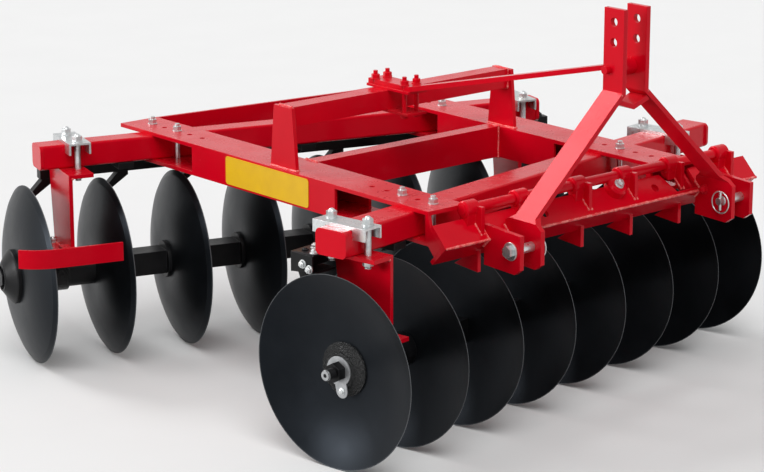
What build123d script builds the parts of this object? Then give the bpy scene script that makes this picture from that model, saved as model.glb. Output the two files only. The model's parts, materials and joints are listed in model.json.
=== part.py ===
from build123d import *
import math
import os

# Offset disc harrow, mounted on a category 2 linkage.
# Millimetres, +X to the machine's right, +Y forward (hitch end), +Z up, ground at Z = 0.

# ---- gangs -------------------------------------------------------------------------------
DISC_D = 560.0
DISC_T = 5.0
DISC_DISH = 50.0
DISC_FLAT_R = 80.0
DISC_BEVEL = 16.0
DISC_EDGE = 2.0
DISC_PITCH = 250.0
DISC_COUNT = 8
AXLE_Z = DISC_D / 2
FRONT_ANGLE = 9.0
REAR_ANGLE = 16.5
FRONT_CENTRE = (171.8, 1154.0)
REAR_CENTRE = (282.2, 164.6)
SHAFT = 32.0
SHAFT_FIT = 0.3
SPOOL = 74.0
SPOOL_FLANGE_R = 59.0
SPOOL_FLANGE_T = 10.0
JOURNAL_R = 36.0
RUNNING_FIT = 0.05
SEAT = 0.3

# ---- frame -------------------------------------------------------------------------------
TOP_Z = 700.0
BEAM_W = 140.0
BEAM_H = 100.0
PLATE_T = 12.0
WEB_T = 10.0
GANG_BEAM = BEAM_H - 2 * PLATE_T
GANG_BEAM_WALL = 6.0
GANG_BEAM_R = 8.0
BEAM_CAP = (6.0, 10.0, 16.0)
GANG_BEAM_LEFT = -895.0
DRAIN_D = 12.0
GANG_BEAM_Z = TOP_Z - BEAM_H / 2
RIGHT_BEAM_X = 667.0
LEFT_BEAM_X = -217.0
BEAM_FRONT_Y = 1347.0
RIGHT_BEAM_REAR_Y = -128.0
LEFT_BEAM_REAR_Y = -30.0
HOLE_PITCH = 66.0
HOLE_D = 17.0
BOLT_D = 16.0
FRONT_HOLES_Y = 1025.0
RIGHT_REAR_HOLES_Y = -52.0
LEFT_REAR_HOLES_Y = 80.0

# ---- hitch -------------------------------------------------------------------------------
HITCH_X = 90.0
PIN_SPREAD = 870.0
PIN_Y = 1508.0
PIN_Z = 590.0
PIN_D = 28.0
PIN_END_D = 22.0
PIN_IN = 66.0
LINCH_D = 10.0
LINCH_OUT = 56.0
CLEVIS_GAP = 65.0
CLEVIS_T = 15.0
CLEVIS_Y = (1399.0, 1545.0)
CLEVIS_RISE = (57.0, 49.0)
CLEVIS_DROP = (61.0, 65.0, 49.0)
CLEVIS_CUT = 22.0
APEX_Y = 1421.0
APEX_Z = 607.0
ANGLE_LEG = 80.0
ANGLE_T = 12.0
ANGLE_X = (-547.0, 737.0)
ANGLE_GAP_X = (-297.0, -210.0, -165.0)
ANGLE_HOLE_D = 26.0
ANGLE_HOLES_X = (330.0, -127.0)
GUSSET_X = (573.0, 368.0, 163.0, -42.0, -250.0)
GUSSET_T = 12.0
GUSSET_IN = 41.0
GUSSET_BACK = 138.0
GUSSET_DEPTH = (104.0, 97.0)
CHEEK_IN = 12.0
MAST_GAP = 78.0
MAST_T = 15.0
MAST_W = 78.0
MAST_BEND_Z = 972.0
MAST_TOP_Z = 1218.0
MAST_Y = 1470.0
LINK_D = 26.0
LINK_HOLES_Z = (1179.0, 1120.0)
TUBE_Z = 1039.0
TUBE_D = 50.0
TUBE_BOLT_D = 24.0
TUBE_BACK = 20.0
SLIDE_BAR_D = 30.0
SLIDE_BAR_Y = 1363.0
SLIDE_BAR_Z = 689.0
SLIDE_BAR_X = (-465.0, 627.0)
LUG_X = (600.0, 405.0, 175.0, -15.0, -215.0, -435.0)
LUG_R = 25.0
LUG_L = 50.0
LUG_CHAMFER = 4.0
LUG_TIP_Y = 1408.0

# ---- posts and stay ----------------------------------------------------------------------
POST_Y = 684.0
POST_T = 12.0
POST_BASE_W = 120.0
POST_TOP_W = 84.0
POST_TOP_Z = 887.0
UPPER_W = 60.0
UPPER_H = 60.0
UPPER_WALL = 6.0
POST_IN = 21.0
CLAMP_X = 300.0
CLAMP_PLATE_W = 76.0
CLAMP_PLATE_T = 8.0
CLAMP_BEHIND = 40.0
CLAMP_AHEAD = 92.0
CLAMP_BOLT_X = 24.0
CLAMP_BOLT_D = 14.0
CLAMP_BOLT_AHEAD = 60.0
STAY_W = 62.0
STAY_T = 15.0

# ---- guard strip ahead of the rear gang ----------------------------------------------------
GUARD_Y = 275.0
GUARD_T = 8.0
GUARD_H = 58.0
GUARD_Z = 402.0
GUARD_OUT = 104.0
GUARD_IN = 210.0
GUARD_BEND = (110.0, 40.0)
GUARD_ARM = (40.0, 10.0)
GUARD_ARM_Z = 376.0

# ---- cross members and plates --------------------------------------------------------------
CHANNEL_Y = (640.0, 690.0)
CHANNEL_T = 8.0
REAR_PLATE_H = 88.0
REAR_PLATE_T = 10.0
BLANK_Y = (424.0, 821.0)
BLANK_H = 87.0
BLANK_T = 2.0
BLANK_R = 10.0
BRACE_IN = (8.0, 4.0)

os.makedirs("parts", exist_ok=True)
nodes = {}


def box(x0, x1, y0, y1, z0, z1):
    """Box between two corners."""
    return Pos((x0 + x1) / 2, (y0 + y1) / 2, (z0 + z1) / 2) * Box(x1 - x0, y1 - y0, z1 - z0)


def rod_x(x0, x1, y, z, r):
    """Round bar along X."""
    return Pos((x0 + x1) / 2, y, z) * Rot(0, 90, 0) * Cylinder(r, x1 - x0)


def rod_y(x, y0, y1, z, r):
    """Round bar along Y."""
    return Pos(x, (y0 + y1) / 2, z) * Rot(90, 0, 0) * Cylinder(r, y1 - y0)


def rod_z(x, y, z0, z1, r):
    """Round bar along Z."""
    return Pos(x, y, (z0 + z1) / 2) * Cylinder(r, z1 - z0)


def plate_yz(points, x0, x1):
    """Flat plate cut from YZ points, between two X faces."""
    face = make_face(Polyline(*[(0, y, z) for y, z in points], close=True))
    return Pos(x0, 0, 0) * extrude(face, amount=x1 - x0, dir=(1, 0, 0))


def plate_xz(points, y0, y1):
    """Flat plate cut from XZ points, between two Y faces."""
    face = make_face(Polyline(*[(x, 0, z) for x, z in points], close=True))
    return Pos(0, y0, 0) * extrude(face, amount=y1 - y0, dir=(0, 1, 0))


def plate_xy(points, z0, z1):
    """Flat plate cut from XY points, between two Z faces."""
    face = make_face(Polyline(*[(x, y, 0) for x, y in points], close=True))
    return Pos(0, 0, z0) * extrude(face, amount=z1 - z0, dir=(0, 0, 1))


def add(name, *shapes):
    """Keep the solids of the shapes under a node name."""
    nodes[name] = Compound([solid for shape in shapes for solid in shape.solids()])


# ---- the two gangs, each built along its own X and turned into place ----------------------
# side is +1 where the hollow of the discs faces the machine's right, -1 where it faces left.
# Of each gang: centre, angle, side, and its beam's width, offset along Y and right end.
GANGS = (
    ("front", FRONT_CENTRE, FRONT_ANGLE, 1, (98.0, -5.5, 877.0)),
    ("rear", REAR_CENTRE, -REAR_ANGLE, -1, (76.0, -22.0, 839.0)),
)
# Of each gang's clamps: distance of the studs from the hanger's plate, shift of the clamp plate.
CLAMPS = {"front": (40.0, 12.0), "rear": (49.0, 0.0)}
# Of each hanger: distance of its plate from the right-hand disc, way the top flange is turned
# (+1 to the right), way the lower flange is turned.
HANGERS = {
    "front": ((118.0, 1, -1), (1618.0, 1, -1)),
    "rear": ((103.0, -1, 1), (1653.0, -1, 1)),
}
# Of each gang's scrapers: offset along X of the bar and of the blade from the disc's rim,
# towards its hollow side, the bar's Y, the blade's top and its height.
SCRAPERS = {
    "front": (-45.0, -48.0, -140.0, 520.0, 65.0),
    "rear": (98.0, 14.0, -130.0, 480.0, 70.0),
}
DISC_X = [DISC_PITCH * (DISC_COUNT / 2 - 0.5 - i) for i in range(DISC_COUNT)]
BEARING_L = 80.0
BEARING_FOOT_W = 150.0
BEARING_FOOT_T = 22.0
HOUSING_R = 60.0
FOOT_RISE = 70.0
FOOT_TOP_Z = AXLE_Z + FOOT_RISE
HANGER_T = 12.0
HANGER_Y = (-91.0, 112.0)
HANGER_LOW_Y = -57.0
HANGER_FLANGE_Y = -80.0
HANGER_TOP_Z = GANG_BEAM_Z - GANG_BEAM / 2
HANGER_FLANGE = 74.0
BEARING_OUT = 35.0
CLAMP_W = 70.0
CLAMP_T = 6.0
CLAMP_RISE = 4.0
CLAMP_HOOK = 26.0
CLAMP_END = 29.0
STUD_D = 18.0
STUD_GAP = 8.0
STUD_WASHER = (17.0, 3.0)
STUD_NUT = (15.5, 15.0)
WASHER_T = 24.0
CONE_R = (78.0, 50.0)
CAP_R = (85.0, 56.0)
LOCK_T = 4.0
LOCK_R = 36.0
LOCK_TAIL = (66.0, 34.0)
LOCK_TURN = 12.0
END_NUT = (29.0, 26.0)
SHAFT_OUT = 30.0
SCRAPER_BAR = 40.0
SCRAPER_BAR_T = 34.0
SCRAPER_END = 25.0
CARRIER_H = 20.0
CARRIER_X = {"front": (-560.0, 60.0, 640.0), "rear": (-680.0, -60.0, 560.0)}
CARRIER_W = 50.0
SCRAPER_ARM = (32.0, 30.0)
BLADE_T = 6.0
BLADE_Y = (30.0, 40.0)


def disc_solid(side):
    """Dished disc with a flat centre, rim plane at X = 0, hollow side towards +X * side."""
    r = DISC_D / 2
    mid_r = (r + DISC_FLAT_R) / 2
    mid_x = -DISC_DISH * (1 - ((mid_r - DISC_FLAT_R) / (r - DISC_FLAT_R)) ** 2)
    bevel_r = r - DISC_BEVEL
    bevel_x = -DISC_DISH * (1 - ((bevel_r - DISC_FLAT_R) / (r - DISC_FLAT_R)) ** 2)
    inner = [(-DISC_DISH, DISC_FLAT_R), (mid_x, mid_r), (0, r)]
    outer = [(-DISC_DISH, DISC_FLAT_R), (mid_x, mid_r), (bevel_x, bevel_r)]
    outer = [(x - DISC_T, y) for x, y in outer]
    rim = (-DISC_EDGE, r)
    axis_in = (-DISC_DISH, 0)
    axis_out = (-DISC_DISH - DISC_T, 0)
    edges = [
        Line(axis_in, inner[0]),
        ThreePointArc(*inner),
        Line(inner[2], rim),
        Line(rim, outer[2]),
        ThreePointArc(*reversed(outer)),
        Line(outer[0], axis_out),
        Line(axis_out, axis_in),
    ]
    body = revolve(make_face(edges), Axis.X)
    body -= Box(4 * DISC_DISH, SHAFT + 2 * SHAFT_FIT, SHAFT + 2 * SHAFT_FIT)
    return body if side > 0 else mirror(body, Plane.YZ)


def hub_x(x, side):
    """X of a disc's two centre faces: hollow side, then bulged side."""
    return x - side * DISC_DISH, x - side * (DISC_DISH + DISC_T)


def square_bore(x0, x1):
    """Square hole through a spool."""
    s = SHAFT / 2 + SHAFT_FIT
    return box(x0 - 1, x1 + 1, -s, s, -s, s)


def spool_solid(x0, x1, side):
    """Square spool with a round flange at the end that meets a disc's bulged face."""
    s = SPOOL / 2
    flange = x1 - SPOOL_FLANGE_T if side > 0 else x0
    body = box(x0, x1, -s, s, -s, s)
    body += rod_x(flange, flange + SPOOL_FLANGE_T, 0, 0, SPOOL_FLANGE_R)
    return body - square_bore(x0, x1)


def journal_solid(x0, x1, b0, b1):
    """Round spool that runs in a bearing housing between b0 and b1."""
    body = rod_x(x0, x1, 0, 0, JOURNAL_R)
    body += rod_x(x0, b0 - 1, 0, 0, SPOOL_FLANGE_R - 8)
    body += rod_x(b1 + 1, x1, 0, 0, SPOOL_FLANGE_R - 8)
    return body - square_bore(x0, x1)


def turned(profile):
    """Solid turned round the X axis from points (x, radius)."""
    points = [(profile[0][0], 0), *profile, (profile[-1][0], 0)]
    return revolve(make_face(Polyline(*points, close=True)), Axis.X)


def end_cone():
    """Cast washer in the hollow of an end disc, from X = 0 outwards."""
    wide, small = CONE_R
    rim = 6.0
    return turned([(0, wide), (rim, wide), (WASHER_T - rim, small + 4), (WASHER_T, small)])


def end_cap():
    """Dished washer on the bulge of an end disc, from X = 0 outwards, with a ring recess."""
    wide, small = CAP_R
    points = [(0, wide), (7, wide - 2), (12, wide - 12), (9, wide - 20), (9, small + 4)]
    return turned(points + [(WASHER_T, small - 8), (WASHER_T, small - 14)])


def lock_tab():
    """Keyhole plate between an end washer and its nut, from X = 0 outwards."""
    reach, width = LOCK_TAIL
    h = width / 2
    body = rod_x(0, LOCK_T, 0, 0, LOCK_R) + box(0, LOCK_T, -h, h, h - reach, 0)
    body += rod_x(0, LOCK_T, 0, h - reach, h)
    return Rot(LOCK_TURN, 0, 0) * body


def build_axle(name, place, side):
    """Discs, spools, bearings, shaft and end fittings of one gang."""
    spin = place * Pos(0, 0, AXLE_Z)
    add(f"{name}_discs", *[spin * Pos(x, 0, 0) * disc_solid(side) for x in DISC_X])

    # bearing centres under the lower flange of each hanger
    bearing_x = [DISC_X[0] - t + low * BEARING_OUT for t, _, low in HANGERS[name]]
    spools = []
    journals = []
    housings = []
    for i in range(DISC_COUNT - 1):
        faces = sorted(hub_x(DISC_X[i], side) + hub_x(DISC_X[i + 1], side))
        x0, x1 = faces[1], faces[2]
        if i in (0, DISC_COUNT - 2):
            b0 = bearing_x[min(i, 1)] - BEARING_L / 2
            b1 = b0 + BEARING_L
            w = BEARING_FOOT_W / 2
            journals.append(spin * journal_solid(x0, x1, b0, b1))
            ring = rod_x(b0, b1, 0, AXLE_Z, HOUSING_R)
            ring += box(b0, b1, -w, w, FOOT_TOP_Z - BEARING_FOOT_T, FOOT_TOP_Z)
            ring -= rod_x(b0 - 1, b1 + 1, 0, AXLE_Z, JOURNAL_R + RUNNING_FIT)
            housings.append(place * ring)
        else:
            spools.append(spin * spool_solid(x0, x1, side))
    add(f"{name}_spools", *spools)
    add(f"{name}_journals", *journals)
    add(f"{name}_bearings", *housings)

    # through shaft: square through the discs and washers, round under the nuts
    ends = sorted(hub_x(DISC_X[0], side) + hub_x(DISC_X[-1], side))
    x_lo, x_hi = ends[0], ends[-1]
    s = SHAFT / 2
    stack = WASHER_T + LOCK_T
    nut_r, nut_t = END_NUT
    reach = stack + nut_t + SHAFT_OUT
    shaft = box(x_lo - stack, x_hi + stack, -s, s, -s, s)
    shaft += rod_x(x_lo - reach, x_hi + reach, 0, 0, s - 1)
    add(f"{name}_shaft", spin * shaft)

    # end washers, lock tabs and nuts, outwards from each end disc
    washers = []
    tabs = []
    nuts = []
    for x, out in ((x_lo, -1), (x_hi, 1)):
        washer = end_cone() if out == side else end_cap()
        nut = Rot(0, 90, 0) * extrude(RegularPolygon(nut_r, 6), amount=nut_t)
        nut -= rod_x(-1, nut_t + 1, 0, 0, s - 1 + SHAFT_FIT)
        fittings = (
            (washers, washer - square_bore(0, WASHER_T), 0),
            (tabs, lock_tab() - square_bore(0, LOCK_T), WASHER_T),
            (nuts, nut, stack),
        )
        for kept, shape, offset in fittings:
            turned_out = shape if out > 0 else mirror(shape, Plane.YZ)
            kept.append(spin * Pos(x + out * offset, 0, 0) * turned_out)
    add(f"{name}_end_washers", *washers)
    add(f"{name}_lock_tab", *tabs)
    add(f"{name}_end_nuts", *nuts)


def stud_fitting(x, y, z, way):
    """Washer, nut and domed end on a clamp stud, upwards or downwards from Z."""
    washer_r, washer_t = STUD_WASHER
    nut_r, nut_t = STUD_NUT
    fitting = rod_z(0, 0, 0, washer_t, washer_r)
    fitting += Pos(0, 0, washer_t) * extrude(RegularPolygon(nut_r, 6), amount=nut_t)
    fitting += Pos(0, 0, washer_t + nut_t - 3) * Sphere(STUD_D / 2 + 2)
    return Pos(x, y, z) * (fitting if way > 0 else Rot(180, 0, 0) * fitting)


def build_hangers(name, place, beam_w, beam_y):
    """The two hangers of a gang, and the clamp over the beam that holds each one."""
    top_z = GANG_BEAM_Z + GANG_BEAM / 2
    stud_y = (beam_w + STUD_D) / 2 + STUD_GAP
    hooks = stud_y + CLAMP_END
    rise_z = top_z + CLAMP_RISE
    back, front = HANGER_Y
    stud_x, lean = CLAMPS[name]
    h = HANGER_T / 2
    hangers = []
    clamps = []
    for t, top_way, low_way in HANGERS[name]:
        hx = DISC_X[0] - t
        web = [
            (HANGER_LOW_Y, FOOT_TOP_Z),
            (front, FOOT_TOP_Z),
            (front, HANGER_TOP_Z),
            (back, HANGER_TOP_Z),
            (back, HANGER_TOP_Z - 2 * HANGER_T),
        ]
        hanger = plate_yz(web, hx - h, hx + h)
        a, b = sorted((hx, hx + top_way * HANGER_FLANGE))
        hanger += box(a, b, back, front, HANGER_TOP_Z - HANGER_T, HANGER_TOP_Z)
        a, b = sorted((hx, hx + low_way * HANGER_FLANGE))
        hanger += box(a, b, HANGER_FLANGE_Y, front, FOOT_TOP_Z, FOOT_TOP_Z + HANGER_T)

        # inverted channel whose ends hook down over the sides of the beam
        c = hx + top_way * stud_x
        x0 = c + lean - CLAMP_W / 2
        x1 = x0 + CLAMP_W
        low_z = top_z - CLAMP_HOOK
        half = beam_w / 2 + SEAT
        clamp = box(x0, x1, beam_y - hooks, beam_y + hooks, low_z, rise_z + CLAMP_T)
        clamp -= box(x0 - 1, x1 + 1, beam_y - half, beam_y + half, low_z - 1, top_z)
        x0 += CLAMP_T
        x1 -= CLAMP_T
        clamp -= box(x0, x1, beam_y - hooks - 1, beam_y + hooks + 1, low_z - 1, rise_z)
        for way in (-1, 1):
            y = beam_y + way * stud_y
            bore = rod_z(c, y, FOOT_TOP_Z + 50, rise_z + 50, STUD_D / 2 + SEAT)
            clamp -= bore
            hanger -= bore
            stud = rod_z(c, y, HANGER_TOP_Z - HANGER_T, rise_z + CLAMP_T, STUD_D / 2)
            stud += stud_fitting(c, y, rise_z + CLAMP_T, 1)
            stud += stud_fitting(c, y, HANGER_TOP_Z - HANGER_T, -1)
            clamps.append(place * stud)
        hangers.append(place * hanger)
        clamps.append(place * clamp)
    add(f"{name}_hangers", *hangers)
    add(f"{name}_clamps", *clamps)


def build_scrapers(name, place, side, beam_front_y):
    """Scraper bar under the back of the beam, and one scraper for each disc."""
    out, gap, bar_y, blade_z, blade_h = SCRAPERS[name]
    reach = side * out
    bt = SCRAPER_BAR_T / 2
    top_z = HANGER_TOP_Z - CARRIER_H
    face_z = top_z - SCRAPER_BAR
    x_lo = DISC_X[-1] + reach - SCRAPER_END
    x_hi = DISC_X[0] + reach + SCRAPER_END
    bar = box(x_lo, x_hi, bar_y - bt, bar_y + bt, face_z, top_z)
    for x in CARRIER_X[name]:
        w = CARRIER_W / 2
        bar += box(x - w, x + w, bar_y - bt, beam_front_y, top_z, HANGER_TOP_Z)
    add(f"{name}_scraper_bar", place * bar)

    arm_w, arm_t = SCRAPER_ARM
    back, ahead = BLADE_Y
    arms = []
    for x in DISC_X:
        xt = x + reach
        xb = x + side * gap
        xu = xb + side * BLADE_T
        root = side * arm_w / 2
        low_z = blade_z - blade_h
        outline = [
            (xt - root, face_z),
            (xt + root, face_z),
            (xt + root, face_z - 2 * BLADE_T),
            (xu, blade_z - BLADE_T),
            (xu, low_z),
            (xb, low_z),
            (xb, blade_z),
        ]
        arm = plate_xz(outline, bar_y - arm_t / 2, bar_y + arm_t / 2)
        lo = min(xb, xu)
        arm += box(lo, lo + BLADE_T, bar_y - back, bar_y + ahead, low_z, low_z + blade_h - 10)
        arms.append(place * arm)
    add(f"{name}_scrapers", *arms)


def build_gang(name, centre, angle, side, beam_row):
    """One gang with its beam, hangers, bearings and scrapers."""
    place = Pos(centre[0], centre[1], 0) * Rot(0, 0, angle)
    build_axle(name, place, side)

    # closed box beam with rounded corners and a drain hole in its left end
    beam_w, beam_y, right = beam_row
    w = beam_w / 2
    g = GANG_BEAM / 2
    t = GANG_BEAM_WALL
    z = GANG_BEAM_Z
    beam = box(GANG_BEAM_LEFT, right, beam_y - w, beam_y + w, z - g, z + g)
    beam = fillet(beam.edges().filter_by(Axis.X), GANG_BEAM_R)
    lip, cap_t, cap_r = BEAM_CAP
    for x in (GANG_BEAM_LEFT, right - cap_t):
        cap = box(x, x + cap_t, beam_y - w - lip, beam_y + w + lip, z - g, z + g)
        beam += fillet(cap.edges().filter_by(Axis.X), cap_r)
    beam -= box(GANG_BEAM_LEFT + t, right - t, beam_y - w + t, beam_y + w - t, z - g + t, z + g - t)
    beam -= rod_x(GANG_BEAM_LEFT - 1, GANG_BEAM_LEFT + t + 1, beam_y, z - g + 2 * t, DRAIN_D / 2)
    add(f"{name}_gang_beam", place * beam)

    build_hangers(name, place, beam_w, beam_y)
    build_scrapers(name, place, side, beam_y + w)


for row in GANGS:
    build_gang(*row)

# ---- side beams --------------------------------------------------------------------------
# across the angle's leg, along Y and Z: its length, and its thickness
LEG_D = ANGLE_LEG * math.sqrt(0.5)
LEG_Q = ANGLE_T * math.sqrt(0.5)
INNER_Y = APEX_Y - 2 * LEG_Q
SIDE_BEAMS = (
    ("right", RIGHT_BEAM_X, RIGHT_BEAM_REAR_Y, RIGHT_REAR_HOLES_Y, 250.0, 940.0),
    ("left", LEFT_BEAM_X, LEFT_BEAM_REAR_Y, LEFT_REAR_HOLES_Y, 400.0, 940.0),
)
for name, x, y_rear, y_holes, web0, web1 in SIDE_BEAMS:
    h = BEAM_W / 2
    z0 = TOP_Z - BEAM_H
    body = box(x - h, x + h, y_rear, BEAM_FRONT_Y, TOP_Z - PLATE_T, TOP_Z)
    body += box(x - h, x + h, y_rear, BEAM_FRONT_Y, z0, z0 + PLATE_T)
    cheek = [
        (BEAM_FRONT_Y - CHEEK_IN, z0),
        (BEAM_FRONT_Y - CHEEK_IN, TOP_Z - PLATE_T),
        (BEAM_FRONT_Y, TOP_Z - PLATE_T),
        (APEX_Y - LEG_D - LEG_Q, APEX_Z + LEG_D - LEG_Q),
        (INNER_Y, APEX_Z),
        (BEAM_FRONT_Y + 2 * CHEEK_IN, APEX_Z - INNER_Y + BEAM_FRONT_Y + 2 * CHEEK_IN),
        (BEAM_FRONT_Y, z0),
    ]
    for xw in (x - h, x + h - WEB_T):
        body += box(xw, xw + WEB_T, web0, web1, z0 + PLATE_T, TOP_Z - PLATE_T)
        body += plate_yz(cheek, xw, xw + WEB_T)
    for i in range(5):
        for y in (y_holes + i * HOLE_PITCH, FRONT_HOLES_Y + i * HOLE_PITCH):
            body -= rod_z(x, y, z0 - 1, TOP_Z + 1, HOLE_D / 2)
    add(f"{name}_side_beam", body)

# angle bolts: beam, rear hole pair, front hole pair
ANGLE_BOLTS = (
    (RIGHT_BEAM_X, RIGHT_REAR_HOLES_Y, (0, 2)),
    (RIGHT_BEAM_X, FRONT_HOLES_Y, (2, 4)),
    (LEFT_BEAM_X, LEFT_REAR_HOLES_Y, (2, 4)),
    (LEFT_BEAM_X, FRONT_HOLES_Y, (0, 2)),
)
bolts = []
for x, y0, pair in ANGLE_BOLTS:
    for i in pair:
        y = y0 + i * HOLE_PITCH
        bolt = rod_z(x, y, TOP_Z - BEAM_H - 20, TOP_Z + 24, BOLT_D / 2)
        bolt += rod_z(x, y, TOP_Z, TOP_Z + 3, 15)
        bolt += Pos(x, y, TOP_Z + 3) * extrude(RegularPolygon(14, 6), amount=13)
        bolt += rod_z(x, y, TOP_Z - BEAM_H - 3, TOP_Z - BEAM_H, 15)
        bolt += Pos(x, y, TOP_Z - BEAM_H - 13) * extrude(RegularPolygon(14, 6), amount=10)
        bolts.append(bolt)
add("angle_bolts", *bolts)

# ---- cross members -----------------------------------------------------------------------
IN_R = RIGHT_BEAM_X - BEAM_W / 2
IN_L = LEFT_BEAM_X + BEAM_W / 2
rear_line = [
    (IN_R, RIGHT_BEAM_REAR_Y),
    (IN_R, RIGHT_BEAM_REAR_Y + REAR_PLATE_T),
    (IN_L, LEFT_BEAM_REAR_Y + REAR_PLATE_T),
    (IN_L, LEFT_BEAM_REAR_Y),
]
add("rear_cross_plate", plate_xy(rear_line, TOP_Z - REAR_PLATE_H, TOP_Z))
y0, y1 = CHANNEL_Y
z0 = TOP_Z - BEAM_H
channel = box(IN_L, IN_R, y0, y1, z0, TOP_Z)
channel -= box(IN_L - 1, IN_R + 1, y0 - 1, y1 - CHANNEL_T, z0 + CHANNEL_T, TOP_Z - CHANNEL_T)
add("mid_cross_channel", channel)

# ---- headstock ---------------------------------------------------------------------------
# an angle laid on its edge, its upper leg left out between the left side beam and the clevis
d = LEG_D
q = LEG_Q
lower_leg = [
    (APEX_Y, APEX_Z),
    (APEX_Y - q, APEX_Z + q),
    (INNER_Y, APEX_Z),
    (APEX_Y - d - q, APEX_Z - d + q),
    (APEX_Y - d, APEX_Z - d),
]
upper_leg = [
    (APEX_Y, APEX_Z),
    (APEX_Y - d, APEX_Z + d),
    (APEX_Y - d - q, APEX_Z + d - q),
    (INNER_Y, APEX_Z),
]
far_x, apex_x, edge_x = ANGLE_GAP_X
headstock = plate_yz(lower_leg, *ANGLE_X)
headstock += plate_yz(upper_leg, ANGLE_X[0], far_x)
cut_end = [
    (apex_x, APEX_Y + 1),
    (ANGLE_X[1], APEX_Y + 1),
    (ANGLE_X[1], APEX_Y - d - q - 1),
    (edge_x, APEX_Y - d - q - 1),
]
headstock += plate_yz(upper_leg, apex_x, ANGLE_X[1]) & plate_xy(cut_end, APEX_Z - 1, TOP_Z)
for x in ANGLE_HOLES_X:
    hole = Rot(-45, 0, 0) * Cylinder(ANGLE_HOLE_D / 2, 4 * ANGLE_T)
    headstock -= Pos(x, APEX_Y - d / 2, APEX_Z + d / 2) * hole

# gusset plates under the lower leg
gusset = [
    (APEX_Y - GUSSET_IN, APEX_Z - GUSSET_IN),
    (APEX_Y - GUSSET_IN, APEX_Z - GUSSET_DEPTH[0]),
    (APEX_Y - GUSSET_BACK, APEX_Z - GUSSET_DEPTH[1]),
    (APEX_Y - d - q, APEX_Z - d + q),
    (APEX_Y - d, APEX_Z - d),
]
for x in GUSSET_X:
    headstock += plate_yz(gusset, x - GUSSET_T / 2, x + GUSSET_T / 2)
add("headstock_angle", headstock)
add("slide_bar", rod_x(*SLIDE_BAR_X, SLIDE_BAR_Y, SLIDE_BAR_Z, SLIDE_BAR_D / 2))

# ---- hitch -------------------------------------------------------------------------------
half_clevis = CLEVIS_GAP / 2
half_mast = MAST_GAP / 2
for name, s in (("right", 1), ("left", -1)):
    cx = HITCH_X + s * PIN_SPREAD / 2
    back_y, front_y = CLEVIS_Y
    notch = APEX_Y - back_y
    pts = [
        (back_y, PIN_Z + CLEVIS_RISE[0]),
        (front_y, PIN_Z + CLEVIS_RISE[1]),
        (front_y, PIN_Z - CLEVIS_DROP[2]),
        (front_y - CLEVIS_CUT, PIN_Z - CLEVIS_DROP[1]),
        (back_y, PIN_Z - CLEVIS_DROP[0]),
        (back_y, APEX_Z - notch),
        (APEX_Y, APEX_Z),
        (back_y, APEX_Z + notch),
    ]
    outer = sorted((cx + s * half_clevis, cx + s * (half_clevis + CLEVIS_T)))
    hole = rod_x(cx - 80, cx + 80, PIN_Y, PIN_Z, PIN_D / 2 + SHAFT_FIT)
    add(f"{name}_clevis_plate", plate_yz(pts, *outer) - hole)
    # mast leg: vertical clevis foot, sloping leg, vertical head
    xi = cx - s * half_clevis
    xo = xi - s * MAST_T
    hi = HITCH_X + s * half_mast
    ho = hi + s * MAST_T
    leg = plate_xz(
        [
            (xi, PIN_Z - 70),
            (xo, PIN_Z - 70),
            (xo, 650),
            (hi, MAST_BEND_Z),
            (hi, MAST_TOP_Z),
            (ho, MAST_TOP_Z),
            (ho, MAST_BEND_Z + 6),
            (xi, 656),
        ],
        back_y - 1,
        front_y + 1,
    )
    side = [
        (back_y, PIN_Z - 61),
        (front_y - 22, PIN_Z - 65),
        (front_y, PIN_Z - 49),
        (front_y, PIN_Z + 49),
        (MAST_Y + MAST_W / 2, PIN_Z + 77),
        (MAST_Y + MAST_W / 2, MAST_TOP_Z + 10),
        (MAST_Y - MAST_W / 2, MAST_TOP_Z + 10),
        (MAST_Y - MAST_W / 2, PIN_Z + 77),
        (back_y, PIN_Z + 57),
        (back_y, APEX_Z + notch),
        (APEX_Y, APEX_Z),
        (back_y, APEX_Z - notch),
    ]
    leg &= plate_yz(side, -1000, 1000)
    for z in LINK_HOLES_Z:
        leg -= rod_x(HITCH_X - 100, HITCH_X + 100, MAST_Y, z, LINK_D / 2)
    leg -= rod_x(HITCH_X - 100, HITCH_X + 100, MAST_Y - TUBE_BACK, TUBE_Z, TUBE_BOLT_D / 2 + SHAFT_FIT)
    leg -= hole
    add(f"{name}_mast_leg", leg)
    # pin with a washer and hexagon head outboard, turned down inboard for its linch pin
    head = s * (half_clevis + CLEVIS_T + SEAT)
    a, b = sorted((cx - s * (half_clevis + MAST_T + SEAT), cx + head))
    pin = rod_x(a, b, PIN_Y, PIN_Z, PIN_D / 2)
    a, b = sorted((cx - s * PIN_IN, cx))
    pin += rod_x(a, b, PIN_Y, PIN_Z, PIN_END_D / 2)
    a, b = sorted((cx + head, cx + head + s * 4))
    pin += rod_x(a, b, PIN_Y, PIN_Z, PIN_D / 2 + 6)
    turn = Rot(0, 90 * s, 0)
    pin += Pos(cx + head + s * 4, PIN_Y, PIN_Z) * turn * extrude(RegularPolygon(18, 6), amount=14)
    pin -= rod_z(cx - s * LINCH_OUT, PIN_Y, PIN_Z - 30, PIN_Z + 30, LINCH_D / 2 + SEAT)
    add(f"{name}_hitch_pin", pin)

tube = rod_x(HITCH_X - half_mast, HITCH_X + half_mast, MAST_Y - TUBE_BACK, TUBE_Z, TUBE_D / 2)
tube -= rod_x(HITCH_X - 100, HITCH_X + 100, MAST_Y - TUBE_BACK, TUBE_Z, TUBE_BOLT_D / 2 + SHAFT_FIT)
add("mast_spacer_tube", tube)
bolt = rod_x(HITCH_X - 78, HITCH_X + 70, MAST_Y - TUBE_BACK, TUBE_Z, TUBE_BOLT_D / 2)
add("mast_bolt", bolt)

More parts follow.
